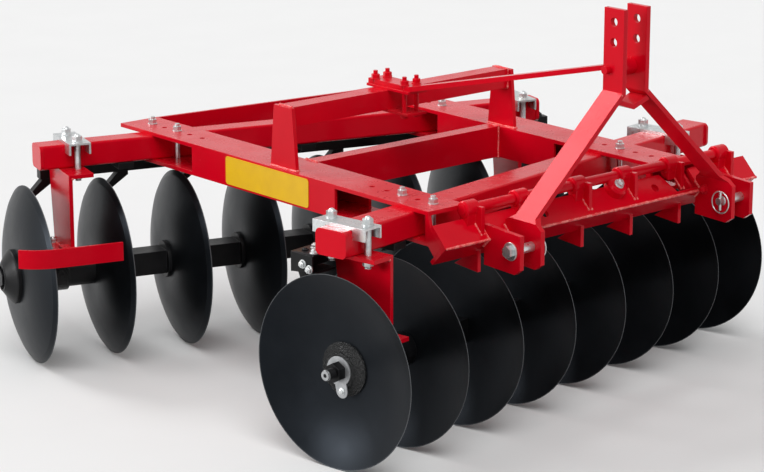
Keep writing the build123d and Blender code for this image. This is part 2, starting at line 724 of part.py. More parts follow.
# ---- posts, upper beam and stay ----------------------------------------------------------
post_x = []
for name, x in (("right", RIGHT_BEAM_X), ("left", LEFT_BEAM_X)):
    px = x + BEAM_W / 2 - POST_IN
    post_x.append(px)
    pts = [
        (POST_Y - POST_BASE_W / 2, TOP_Z),
        (POST_Y + POST_BASE_W / 2, TOP_Z),
        (POST_Y + POST_TOP_W / 2, POST_TOP_Z),
        (POST_Y - POST_TOP_W / 2, POST_TOP_Z),
    ]
    add(f"{name}_post", plate_yz(pts, px - POST_T / 2, px + POST_T / 2))
ux1 = post_x[0] - POST_T / 2
ux0 = post_x[1] + POST_T / 2
uy0 = POST_Y - UPPER_W / 2
uy1 = POST_Y + UPPER_W / 2
uz0 = POST_TOP_Z - UPPER_H
w = UPPER_WALL
upper = box(ux0, ux1, uy0, uy1, uz0, POST_TOP_Z)
upper -= box(ux0 - 1, ux1 + 1, uy0 + w, uy1 - w, uz0 + w, POST_TOP_Z - w)
add("upper_beam", upper)

# stay clamp round the upper beam, its bolts and the stay up to the mast
cy0 = uy0 - CLAMP_BEHIND
cy1 = uy1 + CLAMP_AHEAD
bolt_r = CLAMP_BOLT_D / 2
bolt_at = []
for x in (CLAMP_X - CLAMP_BOLT_X, CLAMP_X + CLAMP_BOLT_X):
    for y in (uy0 - CLAMP_BOLT_D, uy1 + CLAMP_BOLT_AHEAD):
        bolt_at.append((x, y))
clamp_plates = []
for z0 in (uz0 - CLAMP_PLATE_T, POST_TOP_Z):
    h = CLAMP_PLATE_W / 2
    plate = box(CLAMP_X - h, CLAMP_X + h, cy0, cy1, z0, z0 + CLAMP_PLATE_T)
    for x, y in bolt_at:
        plate -= rod_z(x, y, z0 - 1, z0 + CLAMP_PLATE_T + 1, bolt_r + SEAT)
    clamp_plates.append(plate)
add("stay_clamp_plates", *clamp_plates)

foot_z = POST_TOP_Z + CLAMP_PLATE_T
tube_y = MAST_Y - TUBE_BACK
stay_end_y = tube_y - TUBE_D / 2
sw = STAY_W / 2
stay_side = [
    (cy0, foot_z),
    (cy1, foot_z),
    (stay_end_y, TUBE_Z - STAY_T / 2),
    (stay_end_y, TUBE_Z + STAY_T / 2),
    (cy1 - 4, foot_z + STAY_T),
    (cy0, foot_z + STAY_T),
]
stay_plan = [
    (CLAMP_X - sw, cy0),
    (CLAMP_X + sw, cy0),
    (CLAMP_X + sw, cy1),
    (HITCH_X + sw, stay_end_y),
    (HITCH_X - sw, stay_end_y),
    (CLAMP_X - sw, cy1 - 12),
]
stay = plate_yz(stay_side, -1000, 1000) & plate_xy(stay_plan, foot_z - 10, MAST_TOP_Z)
for x, y in bolt_at:
    stay -= rod_z(x, y, foot_z - 1, foot_z + STAY_T + 1, bolt_r + SEAT)
add("stay_bar", stay)

bolts = []
for x, y in bolt_at:
    bolt = rod_z(x, y, uz0 - CLAMP_PLATE_T - 12, foot_z + STAY_T + 26, bolt_r)
    bolt += Pos(x, y, uz0 - CLAMP_PLATE_T - 10) * extrude(RegularPolygon(12, 6), amount=10)
    bolts.append(bolt)
add("stay_clamp_bolts", *bolts)

# V-shaped brace under the bend of the mast
brace_pts = [
    (HITCH_X - half_mast - 14, MAST_BEND_Z - 14),
    (HITCH_X, MAST_BEND_Z - 34),
    (HITCH_X + half_mast + 14, MAST_BEND_Z - 14),
    (HITCH_X + half_mast + 24, MAST_BEND_Z - 26),
    (HITCH_X, MAST_BEND_Z - 48),
    (HITCH_X - half_mast - 24, MAST_BEND_Z - 26),
]
legs = nodes["right_mast_leg"] + nodes["left_mast_leg"]
back, ahead = BRACE_IN
brace = plate_xz(brace_pts, MAST_Y - MAST_W / 2 + back, MAST_Y + MAST_W / 2 - ahead)
add("mast_brace", brace - legs)

# lugs that carry the slide bar: a collar, a web down to the headstock and a gusset plate
lugs = []
for x in LUG_X:
    x0, x1 = x - LUG_L / 2, x + LUG_L / 2
    collar = rod_x(x0, x1, SLIDE_BAR_Y, SLIDE_BAR_Z, LUG_R)
    collar = chamfer(collar.edges().filter_by(GeomType.CIRCLE), LUG_CHAMFER)
    web = [
        (SLIDE_BAR_Y - LUG_R + 2, SLIDE_BAR_Z),
        (SLIDE_BAR_Y + LUG_R - 2, SLIDE_BAR_Z),
        (SLIDE_BAR_Y + LUG_R - 6, APEX_Z + d - 18),
        (APEX_Y - d - q, APEX_Z + d - q),
    ]
    gusset = [
        (SLIDE_BAR_Y, SLIDE_BAR_Z + 10),
        (LUG_TIP_Y, SLIDE_BAR_Z + 10),
        (LUG_TIP_Y, APEX_Z + APEX_Y - LUG_TIP_Y),
        (APEX_Y - d, APEX_Z + d),
    ]
    lug = collar + plate_yz(web, x0 + LUG_CHAMFER, x1 - LUG_CHAMFER)
    lug += plate_yz(gusset, x0 + LUG_CHAMFER, x0 + LUG_CHAMFER + GUSSET_T)
    lug -= rod_x(x0 - 1, x1 + 1, SLIDE_BAR_Y, SLIDE_BAR_Z, SLIDE_BAR_D / 2 + RUNNING_FIT)
    for part in (nodes["headstock_angle"], nodes["left_side_beam"], nodes["right_side_beam"]):
        lug -= part
    lugs.append(lug)
add("slide_bar_lugs", *lugs)

# linch pins through the hitch pins
pins = []
for s in (1, -1):
    x = HITCH_X + s * (PIN_SPREAD / 2 - LINCH_OUT)
    pins.append(rod_z(x, PIN_Y, PIN_Z - 28, PIN_Z + 26, LINCH_D / 2))
add("linch_pins", *pins)

# blank plate on the right-hand web
web_x = RIGHT_BEAM_X + BEAM_W / 2
plate_z = TOP_Z - BEAM_H / 2
plate = box(web_x, web_x + BLANK_T, *BLANK_Y, plate_z - BLANK_H / 2, plate_z + BLANK_H / 2)
add("blank_plate", fillet(plate.edges().filter_by(Axis.X), BLANK_R))

# guard strip ahead of the two right-hand rear discs, its outer end curved back
place = Pos(*REAR_CENTRE, 0) * Rot(0, 0, -REAR_ANGLE)
x0 = DISC_X[0] - GUARD_IN
length, drop = GUARD_BEND
bend_x = DISC_X[0] + GUARD_OUT - length
bend_r = (length**2 + drop**2) / (2 * drop)
bend_end = math.asin(length / bend_r)


def on_bend(r, turn):
    """Point on the strip's curve at a radius, turned round from its start."""
    return bend_x + r * math.sin(turn), GUARD_Y - bend_r + r * math.cos(turn)


front_r = bend_r + GUARD_T
strip_edges = [
    Line((x0, GUARD_Y), (bend_x, GUARD_Y)),
    ThreePointArc(*[on_bend(bend_r, turn) for turn in (0, bend_end / 2, bend_end)]),
    Line(on_bend(bend_r, bend_end), on_bend(front_r, bend_end)),
    ThreePointArc(*[on_bend(front_r, turn) for turn in (bend_end, bend_end / 2, 0)]),
    Line((bend_x, GUARD_Y + GUARD_T), (x0, GUARD_Y + GUARD_T)),
    Line((x0, GUARD_Y + GUARD_T), (x0, GUARD_Y)),
]
strip = Pos(0, 0, GUARD_Z - GUARD_H / 2) * extrude(make_face(strip_edges), amount=GUARD_H, dir=(0, 0, 1))
web_x = DISC_X[0] - HANGERS["rear"][0][0]
arm_w, arm_t = GUARD_ARM
arm_x = web_x - HANGER_T / 2
hw = HANGER_Y[1]
arm = box(arm_x, arm_x + arm_w, hw, GUARD_Y, GUARD_ARM_Z, GUARD_ARM_Z + arm_t)
arm += box(arm_x + HANGER_T, arm_x + arm_w, hw - arm_w, hw, GUARD_ARM_Z, GUARD_ARM_Z + arm_t)
add("guard_strip", place * (strip + arm))

# ---- the machine is centred over its footprint and written out ----------------------------
whole = Compound(list(nodes.values())).bounding_box()
SHIFT = (-(whole.min.X + whole.max.X) / 2, -(whole.min.Y + whole.max.Y) / 2, -whole.min.Z)
for name, shape in nodes.items():
    export_step(Pos(*SHIFT) * shape, f"parts/{name}.step")
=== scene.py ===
import json
import math

import bmesh
import bpy
from mathutils import Matrix, Vector


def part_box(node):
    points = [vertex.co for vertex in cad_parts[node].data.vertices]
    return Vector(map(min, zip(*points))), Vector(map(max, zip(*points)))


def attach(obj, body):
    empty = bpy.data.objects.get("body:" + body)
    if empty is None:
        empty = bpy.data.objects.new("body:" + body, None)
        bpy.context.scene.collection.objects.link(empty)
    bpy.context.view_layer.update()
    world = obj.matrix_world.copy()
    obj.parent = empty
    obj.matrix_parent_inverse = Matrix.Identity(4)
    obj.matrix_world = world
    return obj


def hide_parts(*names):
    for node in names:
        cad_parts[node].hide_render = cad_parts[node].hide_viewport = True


# Offset disc harrow: paint, metal and small fittings over the CAD frame. Metres, +X to the
# machine's right, +Y forward towards the hitch, +Z up.

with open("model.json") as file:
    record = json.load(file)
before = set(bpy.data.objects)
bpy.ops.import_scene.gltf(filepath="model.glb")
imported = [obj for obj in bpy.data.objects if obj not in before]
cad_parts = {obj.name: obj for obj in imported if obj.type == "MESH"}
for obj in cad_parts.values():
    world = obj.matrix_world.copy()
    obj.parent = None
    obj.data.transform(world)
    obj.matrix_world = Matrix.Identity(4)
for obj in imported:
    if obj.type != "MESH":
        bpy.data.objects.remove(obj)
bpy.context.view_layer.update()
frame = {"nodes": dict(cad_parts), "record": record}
record = frame["record"]
nodes = frame["nodes"]


# ---- shader sums -------------------------------------------------------------------------
class Wire:
    """One shader socket that takes part in sums as a number does."""

    def __init__(self, graph, socket):
        self.graph = graph
        self.socket = socket

    def sum(self, operation, a, b):
        """Math node of two sockets or numbers."""
        return self.graph.node("ShaderNodeMath", {"operation": operation}, {0: a, 1: b})

    def __add__(self, other):
        return self.sum("ADD", self, other)

    def __radd__(self, other):
        return self.sum("ADD", other, self)

    def __sub__(self, other):
        return self.sum("SUBTRACT", self, other)

    def __rsub__(self, other):
        return self.sum("SUBTRACT", other, self)

    def __mul__(self, other):
        return self.sum("MULTIPLY", self, other)

    def __rmul__(self, other):
        return self.sum("MULTIPLY", other, self)


class Graph:
    """A node tree, with the node method that everything else goes through."""

    def __init__(self, owner):
        """Starts the tree of a material or a world, with no nodes in it."""
        owner.use_nodes = True
        self.tree = owner.node_tree
        self.tree.nodes.clear()

    def node(self, kind, settings=None, sockets=None, out=0):
        """A new node: its settings first, then the values or links of its sockets."""
        made = self.tree.nodes.new(kind)
        for key, value in (settings or {}).items():
            if key == "stops":
                self.set_stops(made.color_ramp, value)
            else:
                setattr(made, key, value)
        for key, value in (sockets or {}).items():
            if isinstance(value, Wire):
                self.tree.links.new(value.socket, made.inputs[key])
            else:
                made.inputs[key].default_value = value
        return Wire(self, made.outputs[out])

    def twin(self, wire, out):
        """Another output of the node that a wire comes from."""
        return Wire(self, wire.socket.node.outputs[out])

    def surface(self, kind, shader):
        """Wires a shader to a new output node."""
        output = self.tree.nodes.new(kind)
        self.tree.links.new(shader.socket, output.inputs["Surface"])

    def shown(self):
        """1 or more for rays from the camera, mirrored or through, and 0 for light alone."""
        rays = ("Is Camera Ray", "Is Glossy Ray", "Is Transmission Ray")
        seen, mirrored, through = [self.node("ShaderNodeLightPath", out=ray) for ray in rays]
        return seen + mirrored + through

    def set_stops(self, ramp, stops):
        """Black to white stops of a ramp, as (position, level) pairs."""
        while len(ramp.elements) < len(stops):
            ramp.elements.new(1.0)
        for element, (position, level) in zip(ramp.elements, stops):
            element.position = position
            element.color = (level, level, level, 1.0)


class Finish(Graph):
    """One procedural material."""

    def __init__(self, name):
        self.material = bpy.data.materials.new(name)
        super().__init__(self.material)
        self.place = self.node("ShaderNodeTexCoord", out="Object")

    def noise(self, scale, detail=3.0, rough=0.5, where=None):
        """Noise from 0 to 1, with features about 1 / scale metres across."""
        sockets = {"Vector": where or self.place, "Scale": scale}
        sockets.update({"Detail": detail, "Roughness": rough})
        return self.node("ShaderNodeTexNoise", {}, sockets)

    def ramp(self, value, *stops):
        """A value through a black to white ramp."""
        return self.node("ShaderNodeValToRGB", {"stops": stops}, {"Fac": value})

    def stretched(self, x, y, z):
        """Object coordinates scaled along each axis."""
        return self.node("ShaderNodeMapping", {}, {"Vector": self.place, "Scale": (x, y, z)})

    def blend(self, mask, a, b):
        """Colour a where the mask is 0, b where it is 1."""
        settings = {"data_type": "RGBA", "clamp_factor": True}
        return self.node("ShaderNodeMix", settings, {0: mask, 6: a, 7: b}, out=2)

    def part_of(self, vector, axis):
        """One number out of a vector."""
        return self.node("ShaderNodeSeparateXYZ", {}, {0: vector}, out=axis)

    def rounded(self, radius):
        """Normal with every sharp edge softened to the radius."""
        return self.node("ShaderNodeBevel", {"samples": 4}, {"Radius": radius})

    def edge_mask(self, radius):
        """1 along sharp edges, 0 on flat faces."""
        soft = self.rounded(radius)
        true = self.node("ShaderNodeNewGeometry", {}, {}, out="Normal")
        settings = {"operation": "DOT_PRODUCT"}
        dot = self.node("ShaderNodeVectorMath", settings, {0: soft, 1: true}, out="Value")
        return self.ramp(1 - dot, (0.0, 0.0), (0.12, 1.0))

    def bump(self, height, strength, distance, normal=None):
        """Normal raised by a height, over the normal given."""
        sockets = {"Height": height, "Strength": strength, "Distance": distance}
        if normal:
            sockets["Normal"] = normal
        return self.node("ShaderNodeBump", {}, sockets)

    def shade(self, sockets):
        """Principled surface, wired to the output."""
        shader = self.node("ShaderNodeBsdfPrincipled", {}, sockets)
        self.surface("ShaderNodeOutputMaterial", shader)
        return self.material


def rgb(r, g, b):
    """An opaque colour."""
    return (r, g, b, 1.0)


# ---- finishes ----------------------------------------------------------------------------
def gloss_red(name):
    """Sprayed gloss red: soft edges, orange peel, and on what faces up a light dusting with a
    painted pale pink sheen.
    """
    f = Finish(name)
    cloud = f.ramp(f.noise(5.0, 4.0, 0.6), (0.35, 0.0), (0.7, 1.0))
    speck = f.ramp(f.noise(160.0, 2.0), (0.62, 0.0), (0.72, 1.0))
    up = f.part_of(f.node("ShaderNodeNewGeometry", {}, {}, out="Normal"), 2)
    flat_top = f.ramp(up, (0.7, 0.0), (0.95, 1.0))
    # Up-facing faces, broken by noise: a real dusting mixed with a painted pale pink sheen that
    # stands in for the sky's reflection on tops.
    dust_and_sheen = flat_top * f.ramp(f.noise(14.0, 6.0, 0.7), (0.4, 0.0), (0.8, 1.0))
    edge = f.edge_mask(0.003)
    red = f.blend(cloud * 0.55, rgb(0.68, 0.0010, 0.013), rgb(0.56, 0.0007, 0.010))
    red = f.blend(edge * 0.4, red, rgb(0.85, 0.03, 0.045))
    # Painted sheen: pale pink over the red on what faces up, mixed with the dusting and fine
    # specks.
    red = f.blend(dust_and_sheen * 0.10 + speck * 0.02, red, rgb(0.62, 0.22, 0.22))
    peel = f.noise(420.0, 2.0)
    sag = f.noise(28.0, 2.0)
    normal = f.bump(peel + sag * 1.6, 0.12, 0.0006, f.rounded(0.0022))
    return f.shade({
        "Base Color": red,
        "Roughness": 0.20 + cloud * 0.08 + dust_and_sheen * 0.18,
        "Specular Tint": rgb(0.9, 0.03, 0.06),
        "Coat Weight": 0.06 + dust_and_sheen * 0.04,
        "Coat Roughness": 0.08,
        "Normal": normal,
    })


def weld_red(name):
    """Paint over weld metal: thick, glassy on the ripples, so it glints, with pale pink patches
    painted in as glints.
    """
    f = Finish(name)
    cloud = f.ramp(f.noise(70.0, 3.0), (0.4, 0.0), (0.65, 1.0))
    # Painted glints: pale pink patches over the red weld paint, placed by noise.
    red = f.blend(cloud, rgb(0.78, 0.015, 0.025), rgb(0.86, 0.16, 0.14))
    return f.shade({
        "Base Color": red,
        "Roughness": 0.18 + cloud * 0.10,
        "Coat Weight": 0.5 + cloud * 0.3,
        "Coat Roughness": 0.06,
        "Normal": f.bump(f.noise(500.0, 2.0), 0.3, 0.0006),
    })


def gloss_black(name):
    """Dipped black on castings and axle parts: lumpy, with a faint random mottle and lighter edges.
    """
    f = Finish(name)
    cloud = f.ramp(f.noise(18.0, 5.0, 0.65), (0.35, 0.0), (0.75, 1.0))
    grain = f.noise(260.0, 3.0, 0.6)
    edge = f.edge_mask(0.003)
    black = f.blend(cloud, rgb(0.003, 0.003, 0.0035), rgb(0.008, 0.008, 0.009))
    black = f.blend(edge * 0.5, black, rgb(0.05, 0.05, 0.055))
    normal = f.bump(grain + f.noise(40.0, 3.0) * 1.5, 0.25, 0.0012, f.rounded(0.002))
    return f.shade({
        "Base Color": black,
        "Roughness": 0.34 + cloud * 0.16,
        "Specular IOR Level": 0.18,
        "Normal": normal,
    })


def cast_black(name):
    """Painted rough casting: coarse sand grain that glints where the light catches it."""
    f = Finish(name)
    cloud = f.ramp(f.noise(22.0, 4.0, 0.6), (0.35, 0.0), (0.7, 1.0))
    sand = f.ramp(f.noise(210.0, 2.0, 0.6), (0.35, 0.0), (0.65, 1.0))
    edge = f.edge_mask(0.003)
    black = f.blend(cloud, rgb(0.006, 0.0065, 0.007), rgb(0.014, 0.0145, 0.015))
    black = f.blend(edge * 0.4, black, rgb(0.06, 0.062, 0.066))
    return f.shade({
        "Base Color": black,
        "Roughness": 0.16 + cloud * 0.10,
        "Specular IOR Level": 0.42,
        "Normal": f.bump(sand + f.noise(45.0, 3.0) * 0.8, 1.0, 0.003, f.rounded(0.002)),
    })


def charcoal_disc(name):
    """Satin charcoal on the discs: mottled sheen, fine grain and a brighter cutting edge."""
    f = Finish(name)
    mottle = f.ramp(f.noise(7.0, 5.0, 0.62), (0.32, 0.0), (0.72, 1.0))
    fine = f.noise(90.0, 4.0, 0.6)
    edge = f.edge_mask(0.004)
    grey = f.blend(mottle, rgb(0.003, 0.0034, 0.004), rgb(0.007, 0.008, 0.0095))
    grain = f.ramp(fine, (0.45, 0.0), (0.75, 1.0))
    grey = f.blend(grain * 0.35, grey, rgb(0.005, 0.0055, 0.006))
    grey = f.blend(edge * 0.7, grey, rgb(0.22, 0.23, 0.24))
    normal = f.bump(fine + f.noise(30.0, 3.0) * 1.5, 0.10, 0.0008, f.rounded(0.0015))
    return f.shade({
        "Base Color": grey,
        "Roughness": 0.31 + mottle * 0.10 - edge * 0.1,
        "Specular IOR Level": 0.16,
        "Specular Tint": rgb(0.66, 0.80, 1.0),
        "Normal": normal,
    })


def bright_zinc(name):
    """Zinc-plated fastener steel: bluish, slightly cloudy, with fine drawing marks."""
    f = Finish(name)
    cloud = f.ramp(f.noise(60.0, 4.0, 0.6), (0.3, 0.0), (0.7, 1.0))
    marks = f.noise(30.0, 3.0, 0.6, f.stretched(12.0, 12.0, 1.0))
    tint = f.blend(cloud, rgb(0.74, 0.76, 0.76), rgb(0.50, 0.52, 0.53))
    warm = f.ramp(f.noise(35.0, 3.0), (0.55, 0.0), (0.75, 1.0))
    tint = f.blend(warm * 0.4, tint, rgb(0.60, 0.57, 0.48))
    return f.shade({
        "Base Color": tint,
        "Metallic": 0.95 - cloud * 0.1,
        "Roughness": 0.24 + cloud * 0.16,
        "Normal": f.bump(marks, 0.15, 0.0006, f.rounded(0.0012)),
    })


def cut_steel(name):
    """Bare grey plate of the lock tabs: mill skin, rubbed lighter at the edges."""
    f = Finish(name)
    skin = f.ramp(f.noise(45.0, 5.0, 0.65), (0.35, 0.0), (0.7, 1.0))
    edge = f.edge_mask(0.002)
    tint = f.blend(skin, rgb(0.42, 0.43, 0.44), rgb(0.27, 0.28, 0.29))
    tint = f.blend(edge * 0.5, tint, rgb(0.62, 0.63, 0.64))
    return f.shade({
        "Base Color": tint,
        "Metallic": 0.7 - skin * 0.2,
        "Roughness": 0.38 + skin * 0.14,
        "Normal": f.bump(f.noise(180.0, 3.0), 0.15, 0.0005, f.rounded(0.0012)),
    })


def plate_yellow(name):
    """Bare yellow name plate: satin vinyl, faintly wavy."""
    f = Finish(name)
    cloud = f.ramp(f.noise(16.0, 3.0), (0.35, 0.0), (0.7, 1.0))
    scuff = f.ramp(f.noise(120.0, 4.0, 0.7), (0.66, 0.0), (0.74, 1.0))
    tone = f.blend(cloud, rgb(0.84, 0.50, 0.003), rgb(0.77, 0.44, 0.002))
    tone = f.blend(scuff * 0.35, tone, rgb(0.55, 0.34, 0.05))
    return f.shade({
        "Base Color": tone,
        "Roughness": 0.30 + cloud * 0.10,
        "Normal": f.bump(f.noise(60.0, 2.0), 0.08, 0.0005),
    })


FINISHES = {
    "red_paint": gloss_red("gloss_red"),
    "black_paint": gloss_black("gloss_black"),
    "disc_steel": charcoal_disc("charcoal_disc"),
    "zinc_plate": bright_zinc("bright_zinc"),
    "yellow_paint": plate_yellow("plate_yellow"),
    "grey_steel": cut_steel("cut_steel"),
}
SAND_CAST = cast_black("cast_black")
WELD_PAINT = weld_red("weld_red")
CASTINGS = ("front_bearings", "rear_bearings", "front_end_washers")


def dress_frame():
    """Gives every CAD node the finish of its slot, and the rough castings their own."""
    for row in record["subparts"]:
        mesh = nodes[row["node"]].data
        mesh.materials.clear()
        rough = row["node"] in CASTINGS
        mesh.materials.append(SAND_CAST if rough else FINISHES[row["material_slot"]])


dress_frame()


# ---- places in the machine ---------------------------------------------------------------
# Sizes of the frame that its boxes and mounts don't give, as the solids have them.
# Headstock: one leg of its turned angle, and how far its front corner lies below its top.
ANGLE_LEG = 0.080
CORNER_DROP = ANGLE_LEG * math.sqrt(0.5)
# Hitch plates, each side of a pin: from the pin's middle to the inner face, and thickness.
CLEVIS_IN = 0.0325
CLEVIS_T = 0.015
# Mast legs: from between them to an inner face, thickness, and the height of the upper bend.
MAST_IN = 0.039
MAST_T = 0.015
BEND_Z = 0.972
# Hangers: plate and flange. Bearings: thickness of the foot. Scraper bars: y and z.
PLATE_T = 0.012
FLANGE = 0.074
BEARING_FOOT = 0.022
BAR_DEPTH = 0.034
BAR_HEIGHT = 0.040

UP = Vector((0.0, 0.0, 1.0))
SLOPE = Vector((0.0, 1.0, 1.0)).normalized()
MACHINE = Matrix.Identity(4)
MERGE = 0.00001
MOUNTS = {row["name"]: Vector(row["pos_m"]) for row in record["mounts"]}
JOINTS = {row["child"]: row for row in record["behaviour"]["joints"]}


def gang_space(body):
    """A gang's own axes, from the middle of its axle: x along the axle, y forward, z up."""
    joint = JOINTS[body]
    along = Vector(joint["axis"]).normalized()
    turn = Matrix((along, UP.cross(along), UP)).transposed().to_4x4()
    return Matrix.Translation(joint["pos_m"]) @ turn


def reshaped(node, space):
    """A copy of a CAD node's mesh, merged, in a space, to be measured or changed."""
    form = bmesh.new()
    form.from_mesh(nodes[node].data)
    form.transform(space.inverted())
    bmesh.ops.remove_doubles(form, verts=form.verts[:], dist=MERGE)
    return form


def solids(node, space=MACHINE):
    """Each solid of a node as (lowest corner, highest corner), in order along x, then y, then z."""
    form = reshaped(node, space)
    left, found = set(form.verts), []
    while left:
        front = [left.pop()]
        low, high = front[0].co.copy(), front[0].co.copy()
        while front:
            vert = front.pop()
            low = Vector(map(min, low, vert.co))
            high = Vector(map(max, high, vert.co))
            for edge in vert.link_edges:
                other = edge.other_vert(vert)
                if other in left:
                    left.discard(other)
                    front.append(other)
        found.append((low, high))
    form.free()
    return sorted(found, key=lambda pair: tuple(pair[0]))


def finished(name, mesh, body, slot_name, stands_for=(), finish=None):
    """Puts a mesh in the scene as a piece of a body, in its own finish or that of its slot."""
    mesh.materials.clear()
    mesh.materials.append(finish or FINISHES[slot_name])
    piece = bpy.data.objects.new(name, mesh)
    bpy.context.collection.objects.link(piece)
    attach(piece, body)
    if stands_for:
        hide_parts(*stands_for)


def formed(name, form, space, body, slot_name, stands_for=()):
    """The faces in a bmesh, outwards and in the machine's place, as a piece."""
    bmesh.ops.recalc_face_normals(form, faces=form.faces[:])
    form.transform(space)
    mesh = bpy.data.meshes.new(name)
    form.to_mesh(mesh)
    form.free()
    finished(name, mesh, body, slot_name, stands_for)


# ---- grown pieces ------------------------------------------------------------------------
class Growth(Graph):
    """A node tree that repeats one small piece, with its sizes as named inputs."""

    def __init__(self, name, sizes):
        self.tree = bpy.data.node_groups.new(name, "GeometryNodeTree")
        self.keys = {}
        sockets = self.tree.interface
        sockets.new_socket("Geometry", in_out="INPUT", socket_type="NodeSocketGeometry")
        for key, value in sizes.items():
            socket = sockets.new_socket(key, in_out="INPUT", socket_type="NodeSocketFloat")
            socket.default_value = value
            self.keys[key] = socket.identifier
        sockets.new_socket("Geometry", in_out="OUTPUT", socket_type="NodeSocketGeometry")
        self.base = self.node("NodeGroupInput", out="Geometry")

    def size(self, key):
        """One of the named inputs."""
        return self.twin(self.base, key)

    def along(self, step):
        """Points along the base's edges, a step apart, and the turn that looks along them."""
        line = self.node("GeometryNodeMeshToCurve", {}, {"Mesh": self.base})
        sockets = {"Curve": line, "Length": step}
        points = self.node("GeometryNodeCurveToPoints", {"mode": "LENGTH"}, sockets, out="Points")
        return points, self.twin(points, "Rotation")

    def prism(self, sides, radius, height, bevel):
        """A turned or hexagonal piece from z = 0 up, its top edge drawn in by the bevel."""
        sockets = {"Vertices": sides, "Radius": radius}
        form = self.node("GeometryNodeMeshCircle", {"fill_type": "NGON"}, sockets)
        top = None
        for share in PRISM_SHARES:
            sockets = {"Mesh": form, "Offset": self.vector(0.0, 0.0, 1.0)}
            sockets.update({"Offset Scale": height * share, "Individual": False})
            if top:
                sockets["Selection"] = top
            form = self.node("GeometryNodeExtrudeMesh", {}, sockets)
            top = self.twin(form, "Top")
        sockets = {"Geometry": form, "Selection": top, "Scale": bevel}
        return self.node("GeometryNodeScaleElements", {"domain": "FACE"}, sockets)

    def vector(self, x, y, z):
        """Three numbers as a vector."""
        return self.node("ShaderNodeCombineXYZ", {}, {0: x, 1: y, 2: z})

    def lifted(self, shape, z):
        """A shape moved up."""
        sockets = {"Geometry": shape, "Translation": self.vector(0, 0, z)}
        return self.node("GeometryNodeTransform", {}, sockets)

    def joined(self, *shapes):
        """Several shapes as one, all into the same socket."""
        join = self.tree.nodes.new("GeometryNodeJoinGeometry")
        for shape in shapes:
            self.tree.links.new(shape.socket, join.inputs[0])
        return Wire(self, join.outputs[0])

    def varied(self, low, high, seed):
        """A different number for each copy."""
        sockets = {2: low, 3: high, "Seed": seed}
        return self.node("FunctionNodeRandomValue", {"data_type": "FLOAT"}, sockets, out=1)

    def close(self, points, piece, turn, scale):
        """Sets the piece on the points, as plain geometry with a material."""
        sockets = {"Points": points, "Instance": piece, "Rotation": turn, "Scale": scale}
        copies = self.node("GeometryNodeInstanceOnPoints", {}, sockets)
        plain = self.node("GeometryNodeRealizeInstances", {}, {0: copies})
        painted = self.node("GeometryNodeSetMaterial", {}, {"Geometry": plain})
        self.paint = painted.socket.node
        end = self.tree.nodes.new("NodeGroupOutput")
        self.tree.links.new(painted.socket, end.inputs["Geometry"])

    def grow(self, name, chains, sizes, body, slot_name, facings=(UP,), finish=None):
        """Runs the tree on chains of points and keeps the plain mesh that comes out."""
        points = [point for chain in chains for point in chain]
        edges, first = [], 0
        for chain in chains:
            edges += [(first + i, first + i + 1) for i in range(len(chain) - 1)]
            first += len(chain)
        mesh = bpy.data.meshes.new(name)
        mesh.from_pydata(points, edges, [])
        facing = mesh.attributes.new("out", "FLOAT_VECTOR", "POINT")
        for i, row in enumerate(facing.data):
            row.vector = facings[i % len(facings)]
        seed = bpy.data.objects.new(name + "_seed", mesh)
        bpy.context.collection.objects.link(seed)
        self.paint.inputs["Material"].default_value = finish or FINISHES[slot_name]
        modifier = seed.modifiers.new("grow", "NODES")
        modifier.node_group = self.tree
        for key, value in sizes.items():
            modifier[self.keys[key]] = value
        graph = bpy.context.evaluated_depsgraph_get()
        grown = bpy.data.meshes.new_from_object(seed.evaluated_get(graph))
        bpy.data.objects.remove(seed)
        finished(name, grown, body, slot_name, (), finish)


# Of a prism's height: up to its bevel, and the bevel.
PRISM_SHARES = (0.86, 0.14)
# How far a nut may be turned on its bolt, just short of a full turn.
NUT_TURN = 6.28
# Of a washer's thickness: where the hexagon starts, and what the thread's height counts.
HEXAGON_SEAT = 0.9
THREAD_SEAT = 0.8

# The hexagon's radius and height, the washer's radius and thickness, and the thread's radius
# and how far it stands out of the hexagon.
BOLT_SIZES = ("Hexagon", "Height", "Washer", "Plate", "Thread", "Stand")
M16 = dict(zip(BOLT_SIZES, (0.0125, 0.010, 0.0155, 0.0028, 0.0075, 0.005)))
M12 = dict(zip(BOLT_SIZES, (0.0100, 0.008, 0.0125, 0.0022, 0.0058, 0.004)))
M10 = dict(zip(BOLT_SIZES, (0.0085, 0.005, 0.0105, 0.0015, 0.0050, 0.001)))
NUT14 = dict(zip(BOLT_SIZES, (0.0135, 0.013, 0.0150, 0.0025, 0.0074, 0.001)))

APEX_WELD = {"Bead": 0.0047, "Step": 0.0058}
WELD = {"Bead": 0.0045, "Step": 0.0045}
STUD_THREAD = {"Radius": 0.0100, "Pitch": 0.0032}
SHAFT_THREAD = {"Radius": 0.0156, "Pitch": 0.0032}


def bolt_growth():
    """A chamfered hexagon on a washer, with the end of its thread, facing along "out"."""
    g = Growth("bolts", M16)
    washer = g.prism(28, g.size("Washer"), g.size("Plate"), bevel=0.97)
    hexagon = g.prism(6, g.size("Hexagon"), g.size("Height"), bevel=0.90)
    hexagon = g.lifted(hexagon, g.size("Plate") * HEXAGON_SEAT)
    stand = g.size("Plate") * THREAD_SEAT + g.size("Height") + g.size("Stand")
    thread = g.prism(18, g.size("Thread"), stand, bevel=0.8)
    settings = {"data_type": "FLOAT_VECTOR"}
    facing = g.node("GeometryNodeInputNamedAttribute", settings, {"Name": "out"})
    turn = g.node("FunctionNodeAlignRotationToVector", {"axis": "Z"}, {"Vector": facing})
    spin = g.vector(0.0, 0.0, g.varied(0.0, NUT_TURN, 4))
    settings = {"rotation_space": "LOCAL"}
    turn = g.node("FunctionNodeRotateRotation", settings, {0: turn, 1: spin})
    g.close(g.base, g.joined(washer, hexagon, thread), turn, g.vector(1.0, 1.0, 1.0))
    return g


